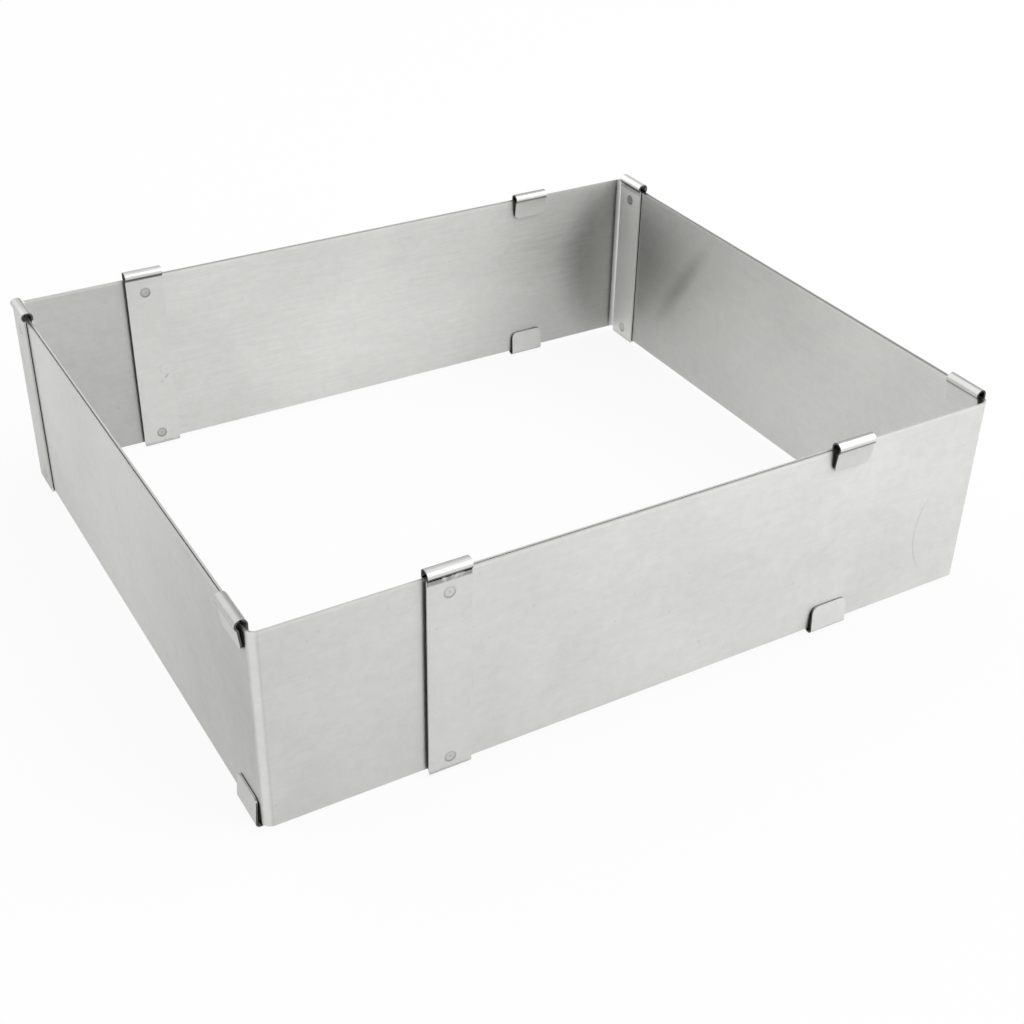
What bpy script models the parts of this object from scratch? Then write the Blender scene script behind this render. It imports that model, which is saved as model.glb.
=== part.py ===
# Adjustable rectangular cake frame: four L-shaped sheets that slide past each other, so that the
# frame grows in length and in depth. Each side is two sheets lying layer on layer. The end of one
# layer carries a riveted guide strip and the end of the other has a pair of hooked tabs.
# Metres, +Z up, +X along the long sides, +Y to the back. The frame stands on Z = 0.

import math
from collections import namedtuple

import bmesh
import bpy
from mathutils import Matrix, Vector

object_name = "adjustable_cake_frame"

# Sizes of the sheets, and how far the frame stands drawn out
sheet_height = 0.080
sheet_thickness = 0.0007
layer_gap = 0.0005  # air between the two layers of a side
bend_inside = 0.00285  # inner radius of each sheet's upright bend
front_leg = 0.2408  # from the plane of the sheet's other leg to the end of this one
back_leg = 0.254
side_leg = 0.250
drawn_out_length = 0.042
drawn_out_depth = 0

# Clearances
fit_gap = 0.0003  # between pieces that lie against each other
slide_gap = 0.0004  # between a strip's lip and the layer that slides under it
cut_overrun = 0.001  # how far cutters reach past the metal

# Hooked tabs, cut in one with the sheets and rolled over the other layer
tab_width = 0.0165
tab_corner_radius = 0.0025
tab_roll_rise = 0.0009  # from the sheet's upper edge to the middle of the roll
tab_overturn = math.radians(45)  # how far the upper roll turns back under itself
tab_crease_inside = 0.0003
tab_flap_length = 0.0080
tab_flap_stand = 0.00096  # how far the flap leans, from its crease to its tip
tab_foot_run = 0.00035  # straight metal past the sheet's lower edge
tab_foot_flat = 0.00035
tab_foot_flap_length = 0.0100
tab_foot_flap_stand = 0.00075

# Guide strips, one on the end of a leg on each side
strip_width = 0.0163
strip_overhang = 0.0010  # how far a strip covers the end of its leg
strip_crease_rise = 0.0001  # from the sheet's upper edge to the crease below the roll
strip_crease_inside = 0.0001
strip_bulge = 0.0008  # how far the upper roll stands out from the strip's face
strip_roll_flat = 0.0009
strip_foot_flat = 0.0009
strip_foot_corner = 0.0011  # rounds the lower corners that show
strip_lip_length = 0.0060
strip_lip_corner = 0.0015

# Flush rivets, two through each strip
rivet_head_radius = 0.00195
rivet_neck_radius = 0.0015
rivet_tail_radius = 0.0019
rivet_edge_break = 0.00008
punch_radius = 0.00045
punch_depth = 0.00025
rivet_top_drop = 0.0065  # from the sheet's upper edge to the upper rivet
rivet_foot_rise = 0.0040  # from the sheet's lower edge to the lower rivet

# Fineness of the round shapes
arc_step = math.radians(10)
bend_step = math.radians(9)
corner_steps = 4
rivet_steps = 28
sharp_angle = math.radians(25)
weld_distance = 0.00001

right_angle = math.radians(90)
half_thickness = sheet_thickness / 2
plane_offset = (sheet_thickness + layer_gap) / 2  # from a side's middle plane to a layer's own
layer_pitch = sheet_thickness + layer_gap
strip_seat = sheet_thickness + fit_gap  # from a leg's plane to its strip's

# Closed, each leg's end stops just short of the next sheet's bend
bend_radius = bend_inside + half_thickness
closed_length = max(front_leg, back_leg) + bend_radius + fit_gap
closed_depth = side_leg + bend_radius + fit_gap
frame_length = closed_length + drawn_out_length  # between the middle planes of opposite sides
frame_depth = closed_depth + drawn_out_depth

# Hooked tabs: where the tip lies, and the rolls that bring it there
tab_tip = layer_pitch + sheet_thickness + fit_gap
tab_flap_lean = math.asin(tab_flap_stand / tab_flap_length)
tab_foot_lean = math.asin(tab_foot_flap_stand / tab_foot_flap_length)
tab_crease_radius = tab_crease_inside + half_thickness
tab_crease_shift = tab_crease_radius * (math.cos(tab_flap_lean) - math.cos(tab_overturn))
tab_roll_radius = (tab_tip + tab_flap_stand + tab_crease_shift) / (1 + math.cos(tab_overturn))
tab_foot_radius = (tab_tip + tab_foot_flap_stand - tab_foot_flat) / (1 + math.cos(tab_foot_lean))
foot_drop = tab_foot_run + tab_foot_radius + half_thickness  # from the sheets down to the table

# Guide strips: where the lip lies, and the rolls that bring it there
strip_lip_place = strip_seat + layer_pitch + sheet_thickness + slide_gap
strip_crease_radius = strip_crease_inside + half_thickness
strip_roll_radius = (strip_lip_place - strip_roll_flat + strip_bulge) / 2
strip_overturn = math.acos(1 - strip_bulge / (strip_crease_radius + strip_roll_radius))
strip_foot_radius = (strip_lip_place - strip_foot_flat) / 2
strip_foot_run = foot_drop - half_thickness - strip_foot_radius

# How far the frame reaches past its middle planes, for an origin below its middle
tab_reach = 2 * tab_roll_radius + half_thickness - plane_offset
lip_reach = strip_lip_place - strip_seat + half_thickness - plane_offset
middle_x = (frame_length + lip_reach - tab_reach) / 2
middle_y = (frame_depth + lip_reach - tab_reach) / 2

# Each sheet bends round one corner, a quarter turn on from the last. Its inner leg lies along its
# own +X, within the other layer of that side, and its outer leg along its own +Y, outside the other
Leg = namedtuple("Leg", "side length end")
Corner = namedtuple("Corner", "name quarter_turns x y inner outer")
corners = (
    Corner("front_left", 0, 0, 0,
           Leg("front", front_leg, "tabs"), Leg("left", side_leg, "strip")),
    Corner("front_right", 1, frame_length, 0,
           Leg("right", side_leg, "strip"), Leg("front", front_leg, "strip")),
    Corner("back_right", 2, frame_length, frame_depth,
           Leg("back", back_leg, "strip"), Leg("right", side_leg, "tabs")),
    Corner("back_left", 3, 0, frame_depth,
           Leg("left", side_leg, "tabs"), Leg("back", back_leg, "tabs")),
)


def clear_scene():
    for old in list(bpy.data.objects):
        bpy.data.objects.remove(old, do_unlink=True)


def new_collection(name):
    collection = bpy.data.collections.new(name)
    bpy.context.scene.collection.children.link(collection)
    return collection


def steel(name, colour, roughness):
    material = bpy.data.materials.new(name)
    material.use_nodes = True
    shader = material.node_tree.nodes["Principled BSDF"]
    shader.inputs["Base Color"].default_value = (*colour, 1)
    shader.inputs["Metallic"].default_value = 1
    shader.inputs["Roughness"].default_value = roughness
    material.diffuse_color = (*colour, 1)
    return material


# A folded section as points (across, past the edge, narrowing). It leaves the sheet's edge
# straight, and each step is a straight run or a bend, where a bend of more than zero turns
# towards the other layer. The corners of its end are rounded, and a fold corner rounds the sides
# of the first quarter turn too.
def section(steps, corner_radius, fold_corner=0):
    across = 0
    past = 0
    heading = 0
    points = []
    for kind, size, angle in steps:
        pieces = max(1, math.ceil(abs(angle) / arc_step)) if kind == "bend" else 1
        turn = angle / pieces
        advance = 2 * size * math.sin(abs(turn) / 2) if kind == "bend" else size
        for _ in range(pieces):
            heading += turn / 2
            across += advance * math.sin(heading)
            past += advance * math.cos(heading)
            heading += turn / 2
            turned_so_far = min(abs(heading), right_angle)
            points.append((across, past, fold_corner * (1 - math.cos(turned_so_far))))
    tip_across, tip_past, tip_narrowing = points.pop()
    for step in range(corner_steps + 1):
        angle = right_angle * step / corner_steps
        short = corner_radius * (1 - math.sin(angle))
        narrowing = tip_narrowing + corner_radius * (1 - math.cos(angle))
        points.append((tip_across - short * math.sin(heading),
                       tip_past - short * math.cos(heading), narrowing))
    return points


def tab_hook():
    return section((
        ("run", tab_roll_rise, 0),
        ("bend", tab_roll_radius, right_angle),
        ("bend", tab_roll_radius, right_angle),
        ("bend", tab_roll_radius, tab_overturn),
        ("bend", tab_crease_radius, tab_flap_lean - tab_overturn),
        ("run", tab_flap_length, 0),
    ), tab_corner_radius)


def tab_foot():
    return section((
        ("run", tab_foot_run, 0),
        ("bend", tab_foot_radius, right_angle),
        ("run", tab_foot_flat, 0),
        ("bend", tab_foot_radius, right_angle),
        ("bend", tab_foot_radius, tab_foot_lean),
        ("run", tab_foot_flap_length, 0),
    ), tab_corner_radius)


def strip_hook():
    return section((
        ("run", strip_crease_rise, 0),
        ("bend", strip_crease_radius, -strip_overturn),
        ("bend", strip_roll_radius, strip_overturn),
        ("bend", strip_roll_radius, right_angle),
        ("run", strip_roll_flat, 0),
        ("bend", strip_roll_radius, right_angle),
        ("run", strip_lip_length, 0),
    ), strip_lip_corner)


def strip_foot():
    return section((
        ("run", strip_foot_run, 0),
        ("bend", strip_foot_radius, right_angle),
        ("run", strip_foot_flat, 0),
        ("bend", strip_foot_radius, right_angle),
        ("run", strip_lip_length, 0),
    ), strip_lip_corner, strip_foot_corner)


# Rolls the metal beyond one edge of a wall over towards a side, row by row
def roll_over(mesh, edge, points, over, outward):
    start, end = (vert.co.copy() for vert in edge.verts)
    along = (end - start).normalized()
    for across, past, narrowing in points:
        grown = bmesh.ops.extrude_edge_only(mesh, edges=[edge])["geom"]
        edge = next(item for item in grown if isinstance(item, bmesh.types.BMEdge))
        place = over * across + outward * past
        near, far = sorted(edge.verts, key=lambda vert: vert.co.dot(along))
        near.co = start + place + along * narrowing
        far.co = end + place - along * narrowing


# An upright wall along a plan line, with hooks rolled over some of its stretches
def folded_wall(name, plan, hooks):
    mesh = bmesh.new()
    line = [mesh.verts.new((x, y, 0)) for x, y in plan]
    lower = [mesh.edges.new(pair) for pair in zip(line, line[1:])]
    grown = bmesh.ops.extrude_edge_only(mesh, edges=lower)["geom"]
    raised = [item for item in grown if isinstance(item, bmesh.types.BMVert)]
    bmesh.ops.translate(mesh, verts=raised, vec=(0, 0, sheet_height))
    up = Vector((0, 0, 1))
    for stretch, over, hook, foot in hooks:
        low = lower[stretch]
        wall = low.link_faces[0]
        high = max(wall.edges, key=lambda edge: sum(vert.co.z for vert in edge.verts))
        roll_over(mesh, high, hook, over, up)
        roll_over(mesh, low, foot, over, -up)
    bmesh.ops.recalc_face_normals(mesh, faces=mesh.faces)
    data = bpy.data.meshes.new(name)
    mesh.to_mesh(data)
    mesh.free()
    return data


def put(name, data, parent, collection, place, turn=Matrix.Identity(4)):
    item = bpy.data.objects.new(name, data)
    item.matrix_local = Matrix.Translation(place) @ turn
    item.parent = parent
    collection.objects.link(item)
    return item


def thicken(item):
    solid = item.modifiers.new("sheet_thickness", "SOLIDIFY")
    solid.thickness = sheet_thickness
    solid.offset = 0
    solid.use_even_offset = True
    solid.use_quality_normals = True


def pierce(item, cutter):
    cut = item.modifiers.new(cutter.name, "BOOLEAN")
    cut.operation = "DIFFERENCE"
    cut.solver = "EXACT"
    cut.object = cutter


# A turned piece from the outline of its right half, read from the top down
def turned(name, outline):
    data = bpy.data.meshes.new(name)
    mesh = bmesh.new()
    line = [mesh.verts.new((radius, 0, height)) for radius, height in outline]
    for pair in zip(line, line[1:]):
        mesh.edges.new(pair)
    mesh.to_mesh(data)
    mesh.free()
    return data


def spin(item):
    screw = item.modifiers.new("turning", "SCREW")
    screw.axis = "Z"
    screw.steps = rivet_steps
    screw.render_steps = rivet_steps
    screw.use_merge_vertices = True
    screw.merge_threshold = weld_distance
    screw.use_smooth_shade = False


# Heights are measured from the strip's own plane, with the head on its open face
def rivet_outline():
    face = half_thickness
    neck = -half_thickness - fit_gap / 2
    tail = -half_thickness - fit_gap - sheet_thickness
    return (
        (0, face - punch_depth),
        (punch_radius, face),
        (rivet_head_radius - rivet_edge_break, face),
        (rivet_head_radius, face - rivet_edge_break),
        (rivet_neck_radius, neck),
        (rivet_tail_radius, tail),
        (0, tail),
    )


# The double countersink that a rivet fills, with the clearance all round
def rivet_hole_outline():
    face = half_thickness
    neck = -half_thickness - fit_gap / 2
    tail = -half_thickness - fit_gap - sheet_thickness
    head_slope = (rivet_head_radius - rivet_neck_radius) / (face - neck)
    tail_slope = (rivet_tail_radius - rivet_neck_radius) / (neck - tail)
    top_radius = rivet_head_radius + fit_gap + head_slope * cut_overrun
    end_radius = rivet_tail_radius + fit_gap + tail_slope * cut_overrun
    return (
        (0, face + cut_overrun),
        (top_radius, face + cut_overrun),
        (rivet_neck_radius + fit_gap, neck),
        (end_radius, tail - cut_overrun),
        (0, tail - cut_overrun),
    )


# A leg under a strip stops a little short of the strip's edge
def leg_end(leg):
    return leg.length if leg.end == "tabs" else leg.length - strip_overhang


# The plan of a sheet: in along the inner leg, round the bend, out along the outer leg
def sheet_plan(corner):
    pieces = math.ceil(right_angle / bend_step)
    plan = [(leg_end(corner.inner), 0)]
    if corner.inner.end == "tabs":
        plan.append((corner.inner.length - tab_width, 0))
    for step in range(pieces + 1):
        angle = right_angle * step / pieces
        plan.append((bend_radius * (1 - math.sin(angle)), bend_radius * (1 - math.cos(angle))))
    if corner.outer.end == "tabs":
        plan.append((0, corner.outer.length - tab_width))
    plan.append((0, leg_end(corner.outer)))
    return plan


# Tabs on the inner leg roll outwards over the other layer, and those on the outer leg inwards
def corner_sheet(corner, parent, collection):
    plan = sheet_plan(corner)
    hooks = []
    if corner.inner.end == "tabs":
        hooks.append((0, Vector((0, -1, 0)), tab_hook(), tab_foot()))
    if corner.outer.end == "tabs":
        hooks.append((len(plan) - 2, Vector((1, 0, 0)), tab_hook(), tab_foot()))
    name = corner.name + "_sheet"
    sheet = put(name, folded_wall(name, plan, hooks), parent, collection, Vector())
    thicken(sheet)
    return sheet


# A strip's middle lies this far along its leg, on the side away from the other layer
def strip_place(corner, leg):
    middle = leg.length - strip_width / 2
    if leg is corner.inner:
        return Vector((middle, strip_seat, 0)), Matrix.Identity(4)
    return Vector((-strip_seat, middle, 0)), Matrix.Rotation(right_angle, 4, "Z")


# Fixes folds, cuts and turning into the meshes, so that their true edges are shaded sharp
def settle(items):
    depsgraph = bpy.context.evaluated_depsgraph_get()
    for item in items:
        data = bpy.data.meshes.new_from_object(item.evaluated_get(depsgraph))
        data.name = item.name
        data.shade_smooth()
        data.set_sharp_from_angle(angle=sharp_angle)
        item.modifiers.clear()
        item.data = data


def main():
    clear_scene()
    parts = new_collection(object_name)
    tools = new_collection(object_name + "_cutters")
    sheet_steel = steel("sheet_steel", (0.74, 0.74, 0.73), 0.34)
    strip_steel = steel("strip_steel", (0.77, 0.77, 0.76), 0.28)
    rivet_steel = steel("rivet_steel", (0.62, 0.62, 0.61), 0.38)

    strip_half = strip_width / 2
    strip_data = folded_wall("guide_strip", [(strip_half, 0), (-strip_half, 0)],
                             [(0, Vector((0, -1, 0)), strip_hook(), strip_foot())])
    strip_data.materials.append(strip_steel)
    rivet_data = turned("flush_rivet", rivet_outline())
    rivet_data.materials.append(rivet_steel)
    hole_data = turned("rivet_hole", rivet_hole_outline())
    head_out = Matrix.Rotation(-right_angle, 4, "X")
    rivet_heights = {"top": sheet_height - rivet_top_drop, "bottom": rivet_foot_rise}

    root = bpy.data.objects.new("frame_middle", None)
    root.location = (-middle_x, -middle_y, foot_drop)
    parts.objects.link(root)
    for corner in corners:
        turn = Matrix.Rotation(right_angle * corner.quarter_turns, 4, "Z")
        own_planes = turn @ Vector((-plane_offset, plane_offset, 0))
        body = put(corner.name + "_corner", None, root, parts,
                   Vector((corner.x, corner.y, 0)) + own_planes, turn)
        sheet = corner_sheet(corner, body, parts)
        sheet.data.materials.append(sheet_steel)
        for leg in (corner.inner, corner.outer):
            if leg.end != "strip":
                continue
            place, turn = strip_place(corner, leg)
            strip = put(leg.side + "_guide_strip", strip_data, body, parts, place, turn)
            thicken(strip)
            for level, height in rivet_heights.items():
                name = f"{leg.side}_rivet_{level}"
                rivet = put(name, rivet_data, strip, parts, Vector((0, 0, height)), head_out)
                spin(rivet)
                hole = put(name + "_hole", hole_data, strip, tools, Vector((0, 0, height)), head_out)
                spin(hole)
                hole.hide_render = True
                hole.display_type = "WIRE"
                pierce(strip, hole)
                pierce(sheet, hole)
    settle([item for item in parts.objects if item.type == "MESH"])


main()
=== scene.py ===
import bpy
import math
from mathutils import Matrix, Vector


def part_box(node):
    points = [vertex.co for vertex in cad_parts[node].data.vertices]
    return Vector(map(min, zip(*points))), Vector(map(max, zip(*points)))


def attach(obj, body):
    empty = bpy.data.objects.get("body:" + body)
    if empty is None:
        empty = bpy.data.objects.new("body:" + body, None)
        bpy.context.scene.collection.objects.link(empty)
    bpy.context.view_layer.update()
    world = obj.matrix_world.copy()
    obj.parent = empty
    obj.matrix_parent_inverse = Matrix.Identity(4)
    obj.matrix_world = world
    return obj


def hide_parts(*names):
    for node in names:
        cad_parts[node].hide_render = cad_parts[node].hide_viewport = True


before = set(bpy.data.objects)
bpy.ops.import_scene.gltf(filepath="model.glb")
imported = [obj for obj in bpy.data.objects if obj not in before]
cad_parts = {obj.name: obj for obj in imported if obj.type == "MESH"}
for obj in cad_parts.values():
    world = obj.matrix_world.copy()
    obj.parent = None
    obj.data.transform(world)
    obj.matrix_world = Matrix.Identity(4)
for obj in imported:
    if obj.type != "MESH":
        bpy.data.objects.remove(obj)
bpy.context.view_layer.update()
print("cake frame: packed model loaded,", len(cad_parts), "pieces")

mm = 0.001
white = (1.0, 1.0, 1.0, 1.0)
noiseLow, noiseHigh = 0.25, 0.75  # nearly all of a noise lies between these


# Short forms for shader nodes: a value is either a number or another node's socket
def emptyTree(holder):
    holder.use_nodes = True
    holder.node_tree.nodes.clear()
    return holder.node_tree


def plug(tree, socket, value):
    if isinstance(value, bpy.types.NodeSocket):
        tree.links.new(value, socket)
    else:
        socket.default_value = value


def add(tree, kind, **inputs):
    node = tree.nodes.new(kind)
    for name, value in inputs.items():
        plug(tree, node.inputs[name.replace("_", " ")], value)
    return node


def maths(tree, operation, *values, kind="ShaderNodeMath"):
    node = tree.nodes.new(kind)
    node.operation = operation
    for socket, value in zip(node.inputs, values):
        plug(tree, socket, value)
    return node


def plus(tree, *values):
    total = values[0]
    for value in values[1:]:
        total = maths(tree, "ADD", total, value).outputs[0]
    return total


def times(tree, *values):
    total = values[0]
    for value in values[1:]:
        total = maths(tree, "MULTIPLY", total, value).outputs[0]
    return total


def less(tree, value, taken):
    return maths(tree, "SUBTRACT", value, taken).outputs[0]


def more(tree, value, other):
    return maths(tree, "GREATER_THAN", value, other).outputs[0]


def size(tree, value):
    return maths(tree, "ABSOLUTE", value).outputs[0]


def distance(tree, across, up):
    return maths(tree, "SQRT", plus(tree, times(tree, across, across), times(tree, up, up))).outputs[0]


def dot(tree, one, other):
    return maths(tree, "DOT_PRODUCT", one, other, kind="ShaderNodeVectorMath").outputs["Value"]


def cross(tree, one, other):
    return maths(tree, "CROSS_PRODUCT", one, other, kind="ShaderNodeVectorMath").outputs["Vector"]


def joined(tree, x, y, z):
    return add(tree, "ShaderNodeCombineXYZ", X=x, Y=y, Z=z).outputs[0]


# From one value at low to another at high, softly or in a straight line
def ramp(tree, value, low, high, atLow=0.0, atHigh=1.0, kind="SMOOTHSTEP"):
    node = add(tree, "ShaderNodeMapRange", Value=value, From_Min=low, From_Max=high,
               To_Min=atLow, To_Max=atHigh)
    node.interpolation_type = kind
    return node.outputs["Result"]


def fall(tree, value, low, high):
    return ramp(tree, value, low, high, 1.0, 0.0)


def blend(tree, share, usual, other):
    return ramp(tree, share, 0.0, 1.0, usual, other, "LINEAR")


def swing(tree, noiseValue, low, high):
    return ramp(tree, noiseValue, noiseLow, noiseHigh, low, high, "LINEAR")


# 1 on the middle line and 0 beyond the half width
def near(tree, value, middle, half, soft):
    return fall(tree, size(tree, less(tree, value, middle)), half - soft, half)


def noise(tree, where, look):
    node = add(tree, "ShaderNodeTexNoise", Vector=where)
    for name, value in look.items():
        node.inputs[name.capitalize()].default_value = value
    return node.outputs[0]


# What every steel face knows about itself: where it is, which way the sheet was rolled, how it is bent.
# turned is 0 on the flat faces and 1 in the middle of an upright bend
def facePlaces(tree, look):
    normal = add(tree, "ShaderNodeNewGeometry").outputs["Normal"]
    nx, ny, nz = add(tree, "ShaderNodeSeparateXYZ", Vector=normal).outputs
    place = add(tree, "ShaderNodeTexCoord").outputs["Object"]
    x, y, z = add(tree, "ShaderNodeSeparateXYZ", Vector=place).outputs
    longSide = more(tree, times(tree, size(tree, y), look["sideRatio"]), size(tree, x))
    along = joined(tree, longSide, less(tree, 1.0, longSide), 0.0)
    run = plus(tree, x, times(tree, y, look["turn"]))
    turned = times(tree, size(tree, times(tree, nx, ny)), 2.0)
    inside = fall(tree, dot(tree, normal, place), -look["insideFade"], 0.0)
    sideways = size(tree, nx)
    return {
        "normal": normal, "nz": nz, "z": z, "run": run, "along": along, "inside": inside,
        "reach": dot(tree, place, along), "flat": joined(tree, run, z, look["seed"]),
        "bent": ramp(tree, turned, *look["bendTurn"]),
        "innerBend": times(tree, inside, ramp(tree, turned, *look["innerBendTurn"])),
        "firstTurn": times(tree, inside, ramp(tree, sideways, *look["mattStarts"]),
                           fall(tree, sideways, *look["mattEnds"])),
        # Painted highlight: a band just under the top rims
        "rimBand": near(tree, z, look["rimBandMiddle"], look["rimBandHalf"], look["rimBandHalf"] / 2),
    }


# Brush strokes run along the sheet, long, thin and a little wavy, with finer hairs between them
def brushStrokes(tree, face, look):
    wave = noise(tree, face["flat"], look["wave"])
    height = plus(tree, face["z"], times(tree, wave, look["waver"]))
    grains = []
    for grain in ("stroke", "hair"):
        where = joined(tree, times(tree, face["run"], look[grain + "Run"]),
                       times(tree, height, look[grain + "Across"]), look["seed"])
        grains.append(noise(tree, where, look[grain + "Noise"]))
    return grains


# Marks on the faces that look one way: rings, scratches, scuffs, and painted shade and painted light. Places
# and sizes are in millimetres, and a depth is what the mark takes off the reflectance
facingFrom, facingTo = 0.8, 0.9


def markPlace(tree, face, mark):
    across = less(tree, face["reach"], mark["reach"] * mm)
    up = less(tree, face["z"], mark["z"] * mm)
    facing = ramp(tree, dot(tree, face["normal"], mark["faces"]), facingFrom, facingTo)
    return across, up, facing


# A faint ring, or an arc of one
def ringMark(tree, face, mark):
    across, up, facing = markPlace(tree, face, mark)
    line = near(tree, distance(tree, across, up), mark["radius"] * mm, mark["width"] * mm, mark["width"] * mm)
    shown = near(tree, up, mark["middle"] * mm, mark["shown"] * mm, mark["shown"] * mm / 2)
    half = more(tree, times(tree, across, mark["side"]), 0.0) if mark["side"] else 1.0
    return times(tree, line, shown, half, facing)


# A soft oval that leans by an angle in degrees: darker where its depth is positive. Small ones are scratches,
# broad ones painted shade and painted light
def patchMark(tree, face, mark):
    across, up, facing = markPlace(tree, face, mark)
    cosine, sine = math.cos(math.radians(mark["lean"])), math.sin(math.radians(mark["lean"]))
    wide, tall = mark["wide"] * mm, mark["tall"] * mm
    sideways = plus(tree, times(tree, across, cosine / wide), times(tree, up, sine / wide))
    upwards = plus(tree, times(tree, up, cosine / tall), times(tree, across, -sine / tall))
    return times(tree, fall(tree, distance(tree, sideways, upwards), mark["core"], 1.0), facing)


# A patch where the brush strokes show more
def hairsMark(tree, face, mark):
    return times(tree, patchMark(tree, face, mark), swing(tree, face["strokes"], -1.0, 1.0))


# A blotchy line: real scuffs where a roll rubbed under its edge, and painted shade in the crease under a roll
# and along a lower edge
def scuffAndShadeLineMark(tree, face, mark):
    blotch = ramp(tree, noise(tree, face["flat"], mark["noise"]), mark["blotchFrom"], mark["blotchTo"])
    band = near(tree, face["z"], mark["z"] * mm, mark["half"] * mm, mark["soft"] * mm)
    facing = ramp(tree, dot(tree, face["normal"], mark["faces"]), facingFrom, facingTo)
    return times(tree, blotch, band, facing)


markKinds = {"ring": ringMark, "patch": patchMark, "hairs": hairsMark, "scuffAndShadeLine": scuffAndShadeLineMark}


def steelTone(tree, face, look):
    clouds = noise(tree, face["flat"], look["clouds"])
    tone = ramp(tree, clouds, *look["cloudSpan"], look["toneLow"], look["toneHigh"])
    swings = {
        "strokeTone": face["strokes"], "hairTone": face["hairs"],
        "mottleTone": noise(tree, face["flat"], look["mottle"]),
    }
    for name, grain in swings.items():
        tone = plus(tree, tone, swing(tree, grain, -look[name], look[name]))
    specks = ramp(tree, noise(tree, face["flat"], look["specks"]), *look["speckSpan"])
    # Painted highlights on the bends and inner bends, and painted light on the inner faces and in the band
    # under the top rims
    tone = plus(
        tree, tone, times(tree, face["smudge"], -look["smudgeTone"]), times(tree, specks, -look["speckTone"]),
        times(tree, face["bent"], look["bendHighlight"]), times(tree, face["inside"], look["insideLight"]),
        times(tree, face["innerBend"], look["innerBendHighlight"]),
        times(tree, face["rimBand"], look["rimBandHighlight"]))
    for mark in look["marks"]:
        tone = less(tree, tone, times(tree, markKinds[mark["kind"]](tree, face, mark), mark["depth"]))
    return tone


# Rims, rolls and cut ends each have a tone of their own, and the undersides of the upper rolls get a dark
# painted shade
def edgeTones(tree, face, tone, look):
    steepness = size(tree, face["nz"])
    betweenRolls = fall(tree, size(tree, less(tree, face["z"], look["rimMiddle"])), *look["rimHalf"])
    rim = times(tree, ramp(tree, steepness, *look["flatUp"]), betweenRolls)
    rolled = times(tree, ramp(tree, steepness, *look["rollTurn"]), less(tree, 1.0, rim))
    atRoll = ramp(tree, face["z"], *look["rollHeight"])
    underRollShade = times(tree, fall(tree, face["nz"], *look["underTurn"]), atRoll)
    end = ramp(tree, size(tree, dot(tree, face["normal"], face["along"])), *look["endTurn"])
    tone = blend(tree, rolled, tone, times(tree, tone, look["rollTone"]))
    tone = blend(tree, rim, tone, look["rimTone"])
    # Painted shade under the upper rolls
    tone = blend(tree, underRollShade, tone, look["underRollShadeTone"])
    tone = blend(tree, end, tone, blend(tree, atRoll, look["endTone"], look["rollEndTone"]))
    return tone, rolled, end


# Painted shade: creases, gaps and the insides of the rolls are darkened where ambient occlusion finds them
# hidden. The gap between two layers at their upper rims is open, and its painted shade has a share of its own
def creaseShade(tree, face, look):
    hidden = add(tree, "ShaderNodeAmbientOcclusion", Distance=look["creaseReach"])
    hidden.samples = look["creaseSamples"]
    rimGap = near(tree, face["z"], look["rimGapMiddle"], look["rimGapHalf"], look["rimGapHalf"] / 2)
    share = less(tree, 1.0, times(tree, rimGap, 1.0 - look["rimGapShade"]))
    return times(tree, fall(tree, hidden.outputs["AO"], *look["creaseLight"]), share)


# Rivets carry a grey ring whose lower arc is darker as painted shade, and a small dark middle: radii in
# millimetres
def pressedRing(tree, look):
    spokes = {}
    for name in ("spokeLength", "spokeHeight"):
        node = add(tree, "ShaderNodeAttribute")
        node.attribute_name = name
        spokes[name] = node.outputs["Fac"]
    radius = look["ringRadius"]
    ring = near(tree, spokes["spokeLength"], radius, look["ringHalf"], look["ringHalf"])
    lower = ramp(tree, spokes["spokeHeight"], -radius, radius, 1.0, look["ringUpperShare"])
    middle = ramp(tree, spokes["spokeLength"], look["dotCore"], look["dotRadius"], look["dotTone"], 0.0)
    return less(tree, 1.0, plus(tree, times(tree, ring, lower, look["ringTone"]), middle))


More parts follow.
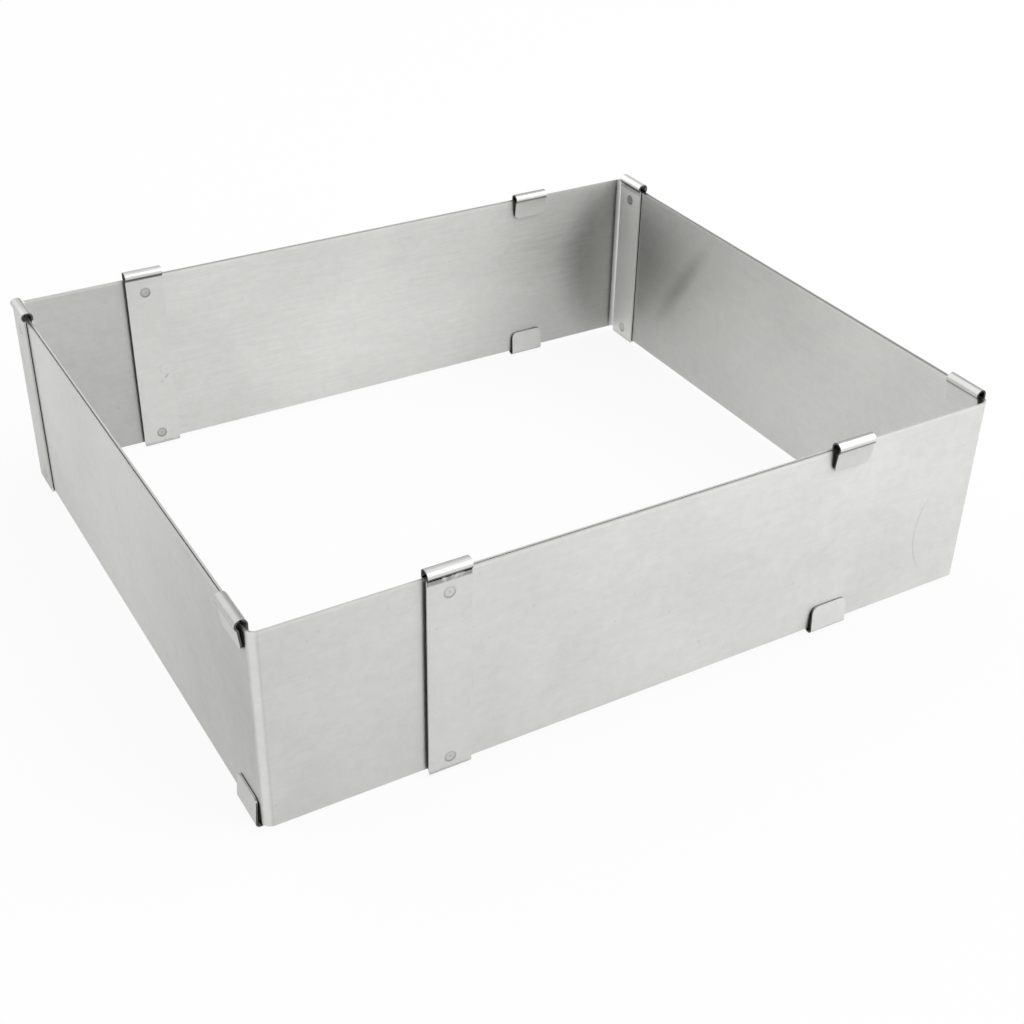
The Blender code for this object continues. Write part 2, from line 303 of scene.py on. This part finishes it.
def brushedSteel(name, look):
    material = bpy.data.materials.new(name)
    tree = emptyTree(material)
    steel = add(tree, "ShaderNodeBsdfPrincipled", Metallic=1.0)
    add(tree, "ShaderNodeOutputMaterial", Surface=steel.outputs[0])

    face = facePlaces(tree, look)
    face["strokes"], face["hairs"] = brushStrokes(tree, face, look)
    face["smudge"] = ramp(tree, noise(tree, face["flat"], look["smudges"]), *look["smudgeSpan"])
    plug(tree, steel.inputs["Tangent"], cross(tree, face["normal"], face["along"]))
    tone, rolled, end = edgeTones(tree, face, steelTone(tree, face, look), look)
    if look["ringed"]:
        tone = times(tree, tone, pressedRing(tree, look))
    # Painted shade in creases, gaps and roll insides
    tone = times(tree, tone, blend(tree, creaseShade(tree, face, look), 1.0, look["creaseShadeTone"]))
    blue = times(tree, tone, look["warmth"])
    colour = add(tree, "ShaderNodeCombineColor", Red=tone, Green=tone, Blue=blue)
    plug(tree, steel.inputs["Base Color"], colour.outputs[0])

    if look["bendMatt"]:
        outside = less(tree, 1.0, face["inside"])
        matt = plus(tree, times(tree, face["firstTurn"], look["bendMatt"]),
                    times(tree, face["rimBand"], outside, look["rimBandMatt"]))
        plug(tree, steel.inputs["Metallic"], less(tree, 1.0, matt))
    plug(tree, steel.inputs["Anisotropic"], blend(tree, face["bent"], look["spread"], look["bendSpread"]))
    rough = plus(tree, swing(tree, face["strokes"], look["roughLow"], look["roughHigh"]),
                 times(tree, face["smudge"], look["smudgeRough"]), times(tree, end, look["endRough"]))
    plug(tree, steel.inputs["Roughness"], blend(tree, rolled, rough, look["rollRough"]))

    height = plus(tree, face["strokes"], times(tree, face["hairs"], look["hairShare"]))
    grain = add(tree, "ShaderNodeBump", Strength=look["grainStrength"], Distance=look["grainDepth"],
                Height=height)
    sag = add(tree, "ShaderNodeBump", Strength=1.0, Distance=look["sagDepth"],
              Height=noise(tree, face["flat"], look["sag"]), Normal=grain.outputs[0])
    plug(tree, steel.inputs["Normal"], sag.outputs[0])
    return material


# The sheets. Tones are linear reflectances, and scales, runs and acrosses count waves in a metre.
# sideRatio tells long sides from short ones: a long side lies this many times nearer to the middle.
# A pair of values is where something begins to change and where the change is complete
sheetLook = {
    "sideRatio": 1.19, "turn": 1.0, "seed": 0.0, "insideFade": 20.0 * mm,
    "bendTurn": (0.20, 0.90), "innerBendTurn": (0.02, 0.35),
    "strokeRun": 60.0, "strokeAcross": 800.0, "strokeNoise": {"scale": 1.0, "detail": 4.0, "roughness": 0.60},
    "hairRun": 160.0, "hairAcross": 2200.0, "hairNoise": {"scale": 1.0, "detail": 2.0, "roughness": 0.60},
    "wave": {"scale": 18.0, "detail": 2.0, "roughness": 0.5}, "waver": 0.9 * mm,
    "clouds": {"scale": 14.0, "detail": 4.0, "roughness": 0.55, "distortion": 0.6},
    "cloudSpan": (0.30, 0.70), "toneLow": 0.610, "toneHigh": 0.665,
    "mottle": {"scale": 240.0, "detail": 3.0, "roughness": 0.65},
    "smudges": {"scale": 26.0, "detail": 3.0, "roughness": 0.6, "distortion": 1.4},
    "smudgeSpan": (0.60, 0.74), "smudgeTone": 0.02, "smudgeRough": 0.05,
    "specks": {"scale": 420.0, "detail": 1.0, "roughness": 0.4}, "speckSpan": (0.73, 0.80), "speckTone": 0.06,
    "strokeTone": 0.016, "hairTone": 0.016, "mottleTone": 0.022, "bendHighlight": 0.13, "innerBendHighlight": 0.36,
    "insideLight": 0.05, "warmth": 0.975,
    "rimMiddle": 42.0 * mm, "rimHalf": (40.2 * mm, 40.6 * mm), "flatUp": (0.90, 0.98), "rimTone": 0.50,
    "rollTurn": (0.10, 0.35), "rollHeight": (81.8 * mm, 82.4 * mm), "rollTone": 0.88, "rollRough": 0.25,
    "underTurn": (-0.40, -0.08), "underRollShadeTone": 0.10,
    "endTurn": (0.80, 0.95), "endTone": 0.14, "rollEndTone": 0.14, "endRough": 0.08,
    "creaseReach": 0.9 * mm, "creaseSamples": 6, "creaseLight": (0.20, 0.65), "creaseShadeTone": 0.08,
    "rimGapMiddle": 81.7 * mm, "rimGapHalf": 1.2 * mm, "rimGapShade": 1.0,
    "rimBandMiddle": 81.6 * mm, "rimBandHalf": 1.0 * mm, "rimBandHighlight": 0.03, "rimBandMatt": 0.0,
    "mattStarts": (0.02, 0.15), "mattEnds": (0.50, 0.70), "bendMatt": 0.65,
    "roughLow": 0.42, "roughHigh": 0.48, "spread": 0.8, "bendSpread": 0.1,
    "grainStrength": 0.4, "grainDepth": 0.02 * mm, "hairShare": 0.5,
    "sag": {"scale": 9.0, "detail": 1.0, "roughness": 0.4}, "sagDepth": 1.0 * mm,
    "marks": (), "ringed": False,
}
sheetSeedStep = 2.3

# Faint rings, a curved scratch, a small lighter spot, broad patches of painted shade and painted light,
# and painted shade in the crease right under each tab's roll
front, left = (0, -1, 0), (-1, 0, 0)
backInside, rightInside = front, left  # the inner faces of the back and right sides look the same way
ring = {"kind": "ring", "middle": 0.0, "side": 0}
patch = {"kind": "patch", "lean": 0.0, "core": 0.1}
hairs = dict(patch, kind="hairs")
scuffAndShadeLine = {"kind": "scuffAndShadeLine", "soft": 0.3, "noise": {"scale": 300.0, "detail": 2.0, "roughness": 0.6}}
# Painted shade: a dark blotchy line in the crease right under each tab's roll
tabCreaseShade = dict(scuffAndShadeLine, z=82.4, half=0.5, blotchFrom=0.10, blotchTo=0.30, depth=0.30)
frontLeftMarks = (
    dict(ring, faces=front, reach=-98.6, z=76.0, radius=5.0, width=0.6, shown=9.0, depth=0.025),
    # Painted shade: the outside of the left side darker towards the front corner
    dict(patch, faces=left, reach=-112.0, z=40.0, wide=130.0, tall=90.0, depth=0.11),
    dict(tabCreaseShade, faces=front),
    dict(tabCreaseShade, faces=left, depth=0.15),
)
frontRightMarks = (
    dict(ring, faces=front, reach=127.0, z=76.0, radius=7.0, width=0.5, shown=10.0, depth=0.02),
    dict(ring, faces=front, reach=154.0, z=30.0, radius=31.0, width=0.7, middle=-1.0, shown=20.0, side=-1,
         depth=0.09),
    # Painted shade: a diagonal dark band and a broad dark zone on the inside of the right side
    dict(patch, faces=rightInside, reach=70.0, z=48.0, wide=42.0, tall=7.0, lean=-56.0, core=0.0, depth=0.18),
    dict(patch, faces=rightInside, reach=92.0, z=55.0, wide=45.0, tall=45.0, depth=0.11),
    # Painted shade: the front darker towards its left
    dict(patch, faces=front, reach=-60.0, z=42.0, wide=60.0, tall=120.0, depth=0.035),
    # Painted light: the lower inside of the right side lighter
    dict(patch, faces=rightInside, reach=40.0, z=20.0, wide=150.0, tall=50.0, core=0.2, depth=-0.06),
)
backRightMarks = (
    # Painted light: the lower middle of the back's inside lighter
    dict(patch, faces=backInside, reach=15.0, z=20.0, wide=90.0, tall=60.0, core=0.2, depth=-0.07),
    # Painted shade: darker zones on the back's inside towards the right corner
    dict(patch, faces=backInside, reach=122.0, z=74.0, wide=55.0, tall=66.0, depth=0.15),
    dict(patch, faces=backInside, reach=147.0, z=40.0, wide=36.0, tall=52.0, core=0.5, depth=0.17),
    dict(hairs, faces=backInside, reach=105.0, z=55.0, wide=55.0, tall=60.0, core=0.2, depth=0.07),
    dict(tabCreaseShade, faces=rightInside),
)
backLeftMarks = (
    dict(patch, faces=backInside, reach=97.0, z=6.0, wide=14.0, tall=14.0, core=0.5, depth=-0.16),
    # Painted shade: the back's inside darker towards the left
    dict(patch, faces=backInside, reach=-60.0, z=40.0, wide=145.0, tall=500.0, core=0.85, depth=0.155),
    dict(tabCreaseShade, faces=left),
    dict(tabCreaseShade, faces=backInside),
)
sheetDetails = {
    "front_left_sheet": {"turn": -1.0, "rimGapShade": 0.10, "rimBandMatt": 0.35, "marks": frontLeftMarks},
    "front_right_sheet": {"turn": 1.0, "marks": frontRightMarks},
    "back_right_sheet": {"turn": -1.0, "toneLow": 0.59, "toneHigh": 0.645, "strokeTone": 0.030,
                         "hairTone": 0.024, "marks": backRightMarks},
    # The back left sheet's darker tones and darker roll are painted shade
    "back_left_sheet": {"turn": 1.0, "toneLow": 0.57, "toneHigh": 0.63, "rollTone": 0.78, "rimGapShade": 0.05,
                        "rimBandHighlight": 0.08, "rimBandMatt": 0.5, "marks": backLeftMarks},
}


def dress(nodeName, material):
    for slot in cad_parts[nodeName].material_slots:
        slot.material = material


for number, (nodeName, details) in enumerate(sheetDetails.items()):
    sheetSteel = brushedSteel(nodeName + "_brushed", dict(sheetLook, seed=sheetSeedStep * number, **details))
    dress(nodeName, sheetSteel)
print("sheets brushed")

# The guide strips, each with the way its open face looks: rubbed under the rolls, with painted shade in the
# crease under each roll and along the lower edge
# The strips' cut ends are set light: a painted highlight along their edges
stripLook = dict(sheetLook, seed=11.0, toneLow=0.64, toneHigh=0.67, strokeRun=70.0, spread=0.4,
                 roughLow=0.44, roughHigh=0.48, endTone=0.85)
# Painted shade: a dark line in the crease under each strip's roll, and a darker band along the lower fold
stripShadeLines = (
    dict(scuffAndShadeLine, z=82.15, half=0.6, blotchFrom=0.10, blotchTo=0.35, depth=0.42),
    dict(scuffAndShadeLine, z=1.2, half=1.0, soft=0.5, blotchFrom=0.20, blotchTo=0.50, depth=0.12,
         noise=dict(scuffAndShadeLine["noise"], scale=500.0)),
)
underRollRub = dict(scuffAndShadeLine, z=81.2, half=1.6, soft=1.0, blotchFrom=0.28, blotchTo=0.54, depth=0.36)
frontScratches = (
    underRollRub,
    dict(ring, reach=-75.9, z=69.4, radius=1.9, width=0.4, shown=4.0, depth=0.035),
    dict(ring, reach=-75.9, z=65.0, radius=2.1, width=0.4, shown=4.0, depth=0.045),
)
backScratches = (
    dict(ring, reach=-89.2, z=37.6, radius=3.0, width=0.45, shown=5.0, depth=0.07),
    dict(patch, reach=-89.6, z=33.6, wide=1.9, tall=0.6, lean=42.0, core=0.2, depth=0.22),
    dict(patch, reach=-91.8, z=31.6, wide=1.5, tall=0.5, lean=30.0, core=0.2, depth=0.14),
)
# Each strip's tone stands in for the light on its side: painted light on the right strip, painted shade on
# the left one
stripSides = {
    "front": {"faces": front, "toneLow": 0.67, "toneHigh": 0.70, "scratches": frontScratches},
    "left": {"faces": left, "toneLow": 0.56, "scratches": ()},
    "back": {"faces": backInside, "toneLow": 0.62, "scratches": backScratches},
    "right": {"faces": rightInside, "toneLow": 0.92, "toneHigh": 0.95, "spread": 0.0, "roughLow": 0.60,
              "roughHigh": 0.64, "scratches": (underRollRub,)},
}

for number, (side, details) in enumerate(stripSides.items()):
    marks = tuple(dict(mark, faces=details["faces"]) for mark in stripShadeLines + details["scratches"])
    look = dict(stripLook, seed=stripLook["seed"] + number, marks=marks, **details)
    dress(side + "_guide_strip", brushedSteel(side + "StripBrushed", look))
print("guide strips brushed")


# Rolls, bends and flat faces are welded and shaded smoothly up to the sharp angle
foldLook = {"weld": 0.01 * mm, "sharpAngle": math.radians(30.0)}


def softFolds(look):
    group = bpy.data.node_groups.new("softFolds", "GeometryNodeTree")
    group.interface.new_socket("Geometry", in_out="INPUT", socket_type="NodeSocketGeometry")
    group.interface.new_socket("Geometry", in_out="OUTPUT", socket_type="NodeSocketGeometry")
    start = add(group, "NodeGroupInput")
    plain = add(group, "GeometryNodeRemoveAttribute", Geometry=start.outputs[0], Name="custom_normal")
    weld = add(group, "GeometryNodeMergeByDistance", Geometry=plain.outputs[0], Distance=look["weld"])
    faces = add(group, "GeometryNodeSetShadeSmooth", Geometry=weld.outputs[0])
    faces.domain = "FACE"
    angle = add(group, "GeometryNodeInputMeshEdgeAngle")
    soft = group.nodes.new("FunctionNodeCompare")
    soft.data_type = "FLOAT"
    soft.operation = "LESS_EQUAL"
    plug(group, soft.inputs[0], angle.outputs["Unsigned Angle"])
    plug(group, soft.inputs[1], look["sharpAngle"])
    edges = add(group, "GeometryNodeSetShadeSmooth", Geometry=faces.outputs[0])
    edges.domain = "EDGE"
    plug(group, edges.inputs["Shade Smooth"], soft.outputs[0])
    end = group.nodes.new("NodeGroupOutput")
    plug(group, end.inputs[0], edges.outputs[0])
    return group


foldGroup = softFolds(foldLook)
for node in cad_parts.values():
    node.modifiers.new("softFolds", "NODES").node_group = foldGroup
print("folds smoothed")


# Flush rivets. Each outline point is a radius and a height over the strip's open face, in millimetres
rivetShape = {
    "segments": 48, "length": 1.7,
    "outline": (
        (0.00, -0.20), (0.22, -0.17), (0.42, -0.07), (0.60, -0.03),  # punched middle
        (1.10, -0.02), (1.50, -0.03), (1.72, -0.02),  # flat of the head
        (1.88, 0.03), (2.02, 0.055), (2.16, 0.05), (2.28, 0.028), (2.34, 0.006),  # soft ring round it
        (1.92, 0.004), (1.52, -0.55), (1.52, -1.10), (1.86, -1.70), (0.00, -1.70),  # shank and tail
    ),
}
rivetLook = dict(sheetLook, seed=17.0, toneLow=0.60, toneHigh=0.66, spread=0.0, roughLow=0.34, roughHigh=0.40,
                 ringed=True, ringRadius=1.98, ringHalf=0.70, ringTone=0.42, ringUpperShare=0.30,
                 dotCore=0.40, dotRadius=0.80, dotTone=0.09, bendHighlight=0.0, innerBendHighlight=0.0, bendMatt=0.0)
# Painted shade: the rivets on the left and back sides are set darker
rivetSides = {
    "front": {"body": "front_right", "out": Vector(front), "sideShade": 0.0},
    "left": {"body": "front_left", "out": Vector(left), "sideShade": 0.06},
    "back": {"body": "back_right", "out": Vector(backInside), "sideShade": 0.15},
    "right": {"body": "front_right", "out": Vector(rightInside), "sideShade": 0.0},
}


def turnRivet(name, middle, out, look):
    segments = look["segments"]
    points, spokes, rings = [], [], []
    level = Vector((0, 0, 1))
    across = out.cross(level)
    for radius, height in look["outline"]:
        steps = segments if radius else 1
        rings.append([len(points) + step % steps for step in range(segments)])
        for step in range(steps):
            angle = math.tau * step / segments
            spoke = (across * math.cos(angle) + level * math.sin(angle)) * radius
            points.append(middle + (out * height + spoke) * mm)
            spokes.append(spoke)
    faces = []
    for inner, outer in zip(rings, rings[1:]):
        for step in range(segments):
            after = (step + 1) % segments
            corners = [inner[step], outer[step], outer[after], inner[after]]
            faces.append(list(dict.fromkeys(corners)))  # three corners where a ring is one point
    mesh = bpy.data.meshes.new(name)
    mesh.from_pydata(points, [], faces)
    for attribute, values in (("spokeLength", [spoke.length for spoke in spokes]),
                              ("spokeHeight", [spoke.z for spoke in spokes])):
        mesh.attributes.new(attribute, "FLOAT", "POINT").data.foreach_set("value", values)
    rivet = bpy.data.objects.new(name, mesh)
    bpy.context.scene.collection.objects.link(rivet)
    return rivet


for side, details in rivetSides.items():
    tones = {name: rivetLook[name] - details["sideShade"] for name in ("toneLow", "toneHigh")}
    rivetSteel = brushedSteel(side + "RivetPressed", dict(rivetLook, **tones))
    for level in ("top", "bottom"):
        nodeName = f"{side}_rivet_{level}"
        low, high = (Vector(corner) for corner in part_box(nodeName))
        openFace = (low + high) / 2 + details["out"] * (rivetShape["length"] / 2 * mm)
        rivet = turnRivet(f"{side}Rivet{level.capitalize()}", openFace, details["out"], rivetShape)
        rivet.data.materials.append(rivetSteel)
        rivet.modifiers.new("softFolds", "NODES").node_group = foldGroup
        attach(rivet, details["body"])
        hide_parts(nodeName)
print("rivets done")


# The camera stands where the photograph was taken from
cameraLook = {
    "place": (-272.30 * mm, -481.86 * mm, 371.36 * mm),
    "turnRight": math.radians(30.905), "lookDown": math.radians(33.44), "roll": math.radians(1.308),
    "focalPixels": 1569.2, "picturePixels": 1024, "sensor": 36.0, "nearest": 0.01, "farthest": 50.0,
}


def placeCamera(look):
    turn, down, roll = look["turnRight"], look["lookDown"], look["roll"]
    ahead = Vector((math.sin(turn) * math.cos(down), math.cos(turn) * math.cos(down), -math.sin(down)))
    right = ahead.cross(Vector((0, 0, 1))).normalized()
    up = right.cross(ahead)
    axisX = math.cos(roll) * right + math.sin(roll) * up
    axisY = math.cos(roll) * up - math.sin(roll) * right
    data = bpy.data.cameras.new("photoCamera")
    data.sensor_width = look["sensor"]
    data.lens = look["focalPixels"] / look["picturePixels"] * look["sensor"]
    data.clip_start = look["nearest"]
    data.clip_end = look["farthest"]
    camera = bpy.data.objects.new("photoCamera", data)
    bpy.context.scene.collection.objects.link(camera)
    turned = Matrix((axisX, axisY, -ahead)).transposed().to_4x4()
    camera.matrix_world = Matrix.Translation(look["place"]) @ turned
    bpy.context.scene.camera = camera


placeCamera(cameraLook)
print("camera placed")


# A pale floor, a world that is dark only towards the front left, and soft lamps. The shares of plain
# white are what the camera and the metal see of the floor: the rest is lit paper, which takes the shadow
studioLook = {
    "floorHalf": 6.0, "floorDrop": 0.3 * mm, "floorColour": (0.75, 0.75, 0.75, 1.0),
    "whiteForCamera": 0.90, "whiteForMetal": 0.45,
    "lowSky": 0.46, "highSky": 0.76, "riseFrom": 0.05, "riseTo": 0.40,
    "glows": (
        {"towards": (0.47, -0.81, 0.35), "starts": 0.60, "full": 0.95, "more": 1.5},
        {"towards": (-0.45, 0.77, 0.45), "starts": 0.60, "full": 0.95, "more": 0.6},
    ),
    "shade": {"towards": (-0.5, -0.86, 0.0), "starts": 0.50, "full": 0.95, "left": 0.04},
    "lamps": {
        "softTop": {"place": (0.25, 0.1, 1.4), "target": (0.05, 0, 0), "size": 1.7, "power": 4.4},
        "keyRight": {"place": (1.25, -0.35, 1.1), "target": (0, 0, 0.04), "size": 1.0, "power": 6.2},
    },
}


def layFloor(look):
    half = look["floorHalf"]
    mesh = bpy.data.meshes.new("floor")
    signs = ((-1, -1), (1, -1), (1, 1), (-1, 1))
    corners = [(signX * half, signY * half, -look["floorDrop"]) for signX, signY in signs]
    mesh.from_pydata(corners, [], [(0, 1, 2, 3)])
    floor = bpy.data.objects.new("floor", mesh)
    bpy.context.scene.collection.objects.link(floor)
    material = bpy.data.materials.new("paleFloor")
    tree = emptyTree(material)
    paper = add(tree, "ShaderNodeBsdfDiffuse", Color=look["floorColour"])
    glow = add(tree, "ShaderNodeEmission", Color=white, Strength=1.0)
    path = add(tree, "ShaderNodeLightPath")
    metal = plus(tree, path.outputs["Is Glossy Ray"], path.outputs["Is Transmission Ray"])
    share = plus(tree, times(tree, path.outputs["Is Camera Ray"], look["whiteForCamera"]),
                 times(tree, metal, look["whiteForMetal"]))
    mix = add(tree, "ShaderNodeMixShader", Fac=share)
    plug(tree, mix.inputs[1], paper.outputs[0])
    plug(tree, mix.inputs[2], glow.outputs[0])
    add(tree, "ShaderNodeOutputMaterial", Surface=mix.outputs[0])
    mesh.materials.append(material)


def lightWorld(look):
    world = bpy.data.worlds.new("studio")
    bpy.context.scene.world = world
    tree = emptyTree(world)
    direction = add(tree, "ShaderNodeTexCoord").outputs["Generated"]
    upward = add(tree, "ShaderNodeSeparateXYZ", Vector=direction).outputs["Z"]
    level = ramp(tree, upward, look["riseFrom"], look["riseTo"], look["lowSky"], look["highSky"])
    for glow in look["glows"]:
        towards = dot(tree, direction, glow["towards"])
        level = plus(tree, level, ramp(tree, towards, glow["starts"], glow["full"], 0.0, glow["more"]))
    shade = look["shade"]
    towards = dot(tree, direction, shade["towards"])
    level = times(tree, level, ramp(tree, towards, shade["starts"], shade["full"], 1.0, shade["left"]))
    seen = add(tree, "ShaderNodeLightPath").outputs["Is Camera Ray"]
    strength = maths(tree, "MAXIMUM", level, seen).outputs[0]
    background = add(tree, "ShaderNodeBackground", Color=white, Strength=strength)
    add(tree, "ShaderNodeOutputWorld", Surface=background.outputs[0])


def hangLamp(name, look):
    data = bpy.data.lights.new(name, "AREA")
    data.shape = "SQUARE"
    data.size = look["size"]
    data.energy = look["power"]
    lamp = bpy.data.objects.new(name, data)
    lamp.location = look["place"]
    lamp.rotation_mode = "QUATERNION"
    lamp.rotation_quaternion = (Vector(look["target"]) - Vector(look["place"])).to_track_quat("-Z", "Y")
    bpy.context.scene.collection.objects.link(lamp)


layFloor(studioLook)
lightWorld(studioLook)
for name, lampLook in studioLook["lamps"].items():
    hangLamp(name, lampLook)
bpy.context.scene.view_settings.view_transform = "Standard"
print("floor, world and lamps done")
